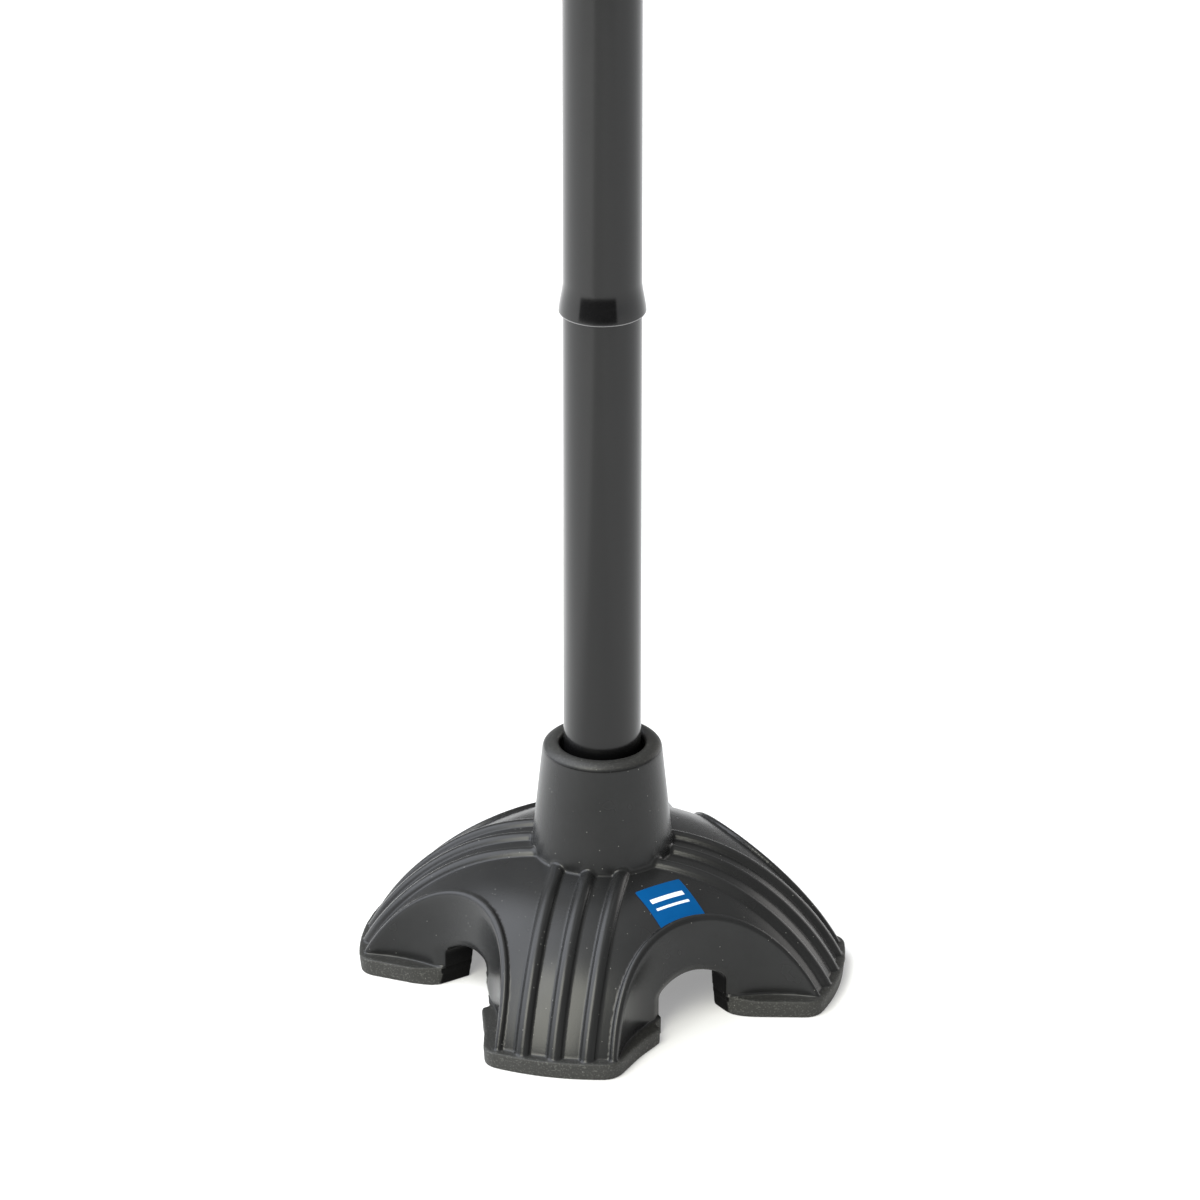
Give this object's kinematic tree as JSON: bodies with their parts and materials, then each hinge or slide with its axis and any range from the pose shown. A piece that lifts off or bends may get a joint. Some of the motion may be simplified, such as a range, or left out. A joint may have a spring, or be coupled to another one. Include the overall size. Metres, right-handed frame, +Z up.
{
  "type": "quad walking cane",
  "caption": "Folding walking cane of sleeve-jointed tube sections on a four-footed rubber tip, with a height-adjusting push button, a lock collar and a derby handle.",
  "frame": {"origin": "on the tube's axis at the floor, in the middle of the four feet", "axes": "+Z up along the tube; the feet point along +X, -X, +Y and -Y; the handle lies along X with its long end towards +X"},
  "size_m": [0.141, 0.141, 0.8898],
  "materials": {
    "tip_rubber": "moulded black rubber, soft sheen on the dome, dusty matt sole",
    "label_film": "plain blue label film with white stripes",
    "zinc_steel": "zinc-plated steel",
    "tube_enamel": "smooth near-black gloss enamel on aluminium tube",
    "bare_aluminium": "plain drawn aluminium",
    "nylon": "black nylon",
    "cord_braid": "black braided cover over rubber strands",
    "button_steel": "polished stainless steel",
    "spring_steel": "blue-grey spring steel strip",
    "black_plastic": "moulded black plastic, knurled",
    "handle_plastic": "moulded black plastic, semi-gloss",
    "trim_chrome": "chromed brass ring"
  },
  "bodies": {
    "base": {"quad_base": "tip_rubber", "base_label": "label_film", "tip_washer": "zinc_steel", "lower_tube": "tube_enamel", "lower_ferrule": "bare_aluminium", "lower_seat_ring": "nylon", "cord_bottom_plug": "nylon", "cord_lower_crimp": "zinc_steel", "elastic_cord": "cord_braid"},
    "third_section": {"third_tube": "tube_enamel", "third_ferrule": "bare_aluminium", "third_seat_ring": "nylon"},
    "second_section": {"second_tube": "tube_enamel", "second_ferrule": "bare_aluminium", "second_seat_ring": "nylon"},
    "upper_section": {"upper_tube": "tube_enamel", "cord_top_plug": "nylon", "cord_upper_crimp": "zinc_steel", "threaded_sleeve": "black_plastic", "grip_cone": "nylon"},
    "collar": {"lock_collar": "black_plastic"},
    "handle": {"adjust_tube": "tube_enamel", "guide_bushing": "nylon", "button_spring": "spring_steel", "handle_plug": "nylon", "handle_screw": "zinc_steel", "handle_trim_ring": "trim_chrome", "handle_grip": "handle_plastic"},
    "button": {"snap_button": "button_steel"}
  },
  "joints": [
    {"name": "pull_apart_lower", "type": "slide", "parent": "base", "child": "third_section", "axis": [0, 0, 1], "range_m": [0, 0.055], "stiffness_N_per_m": 120, "springref_m": -0.1, "deforming": ["elastic_cord"]},
    {"name": "pull_apart_middle", "type": "slide", "parent": "third_section", "child": "second_section", "axis": [0, 0, 1], "range_m": [0, 0.055], "stiffness_N_per_m": 120, "springref_m": -0.1, "deforming": ["elastic_cord"]},
    {"name": "pull_apart_upper", "type": "slide", "parent": "second_section", "child": "upper_section", "axis": [0, 0, 1], "range_m": [0, 0.055], "stiffness_N_per_m": 120, "springref_m": -0.1, "deforming": ["elastic_cord"]},
    {"name": "height_adjust", "type": "slide", "parent": "upper_section", "child": "handle", "axis": [0, 0, 1], "range_m": [-0.0508, 0.0508], "deforming": ["snap_button"]},
    {"name": "collar_turn", "type": "hinge", "parent": "upper_section", "child": "collar", "pos_m": [0, 0, 0.794], "axis": [0, 0, 1], "range_deg": [0, 180]},
    {"name": "button_press", "type": "slide", "parent": "handle", "child": "button", "axis": [1, 0, 0], "range_m": [0, 0.004], "stiffness_N_per_m": 1500, "springref_m": -0.003, "deforming": ["button_spring"]}
  ]
}
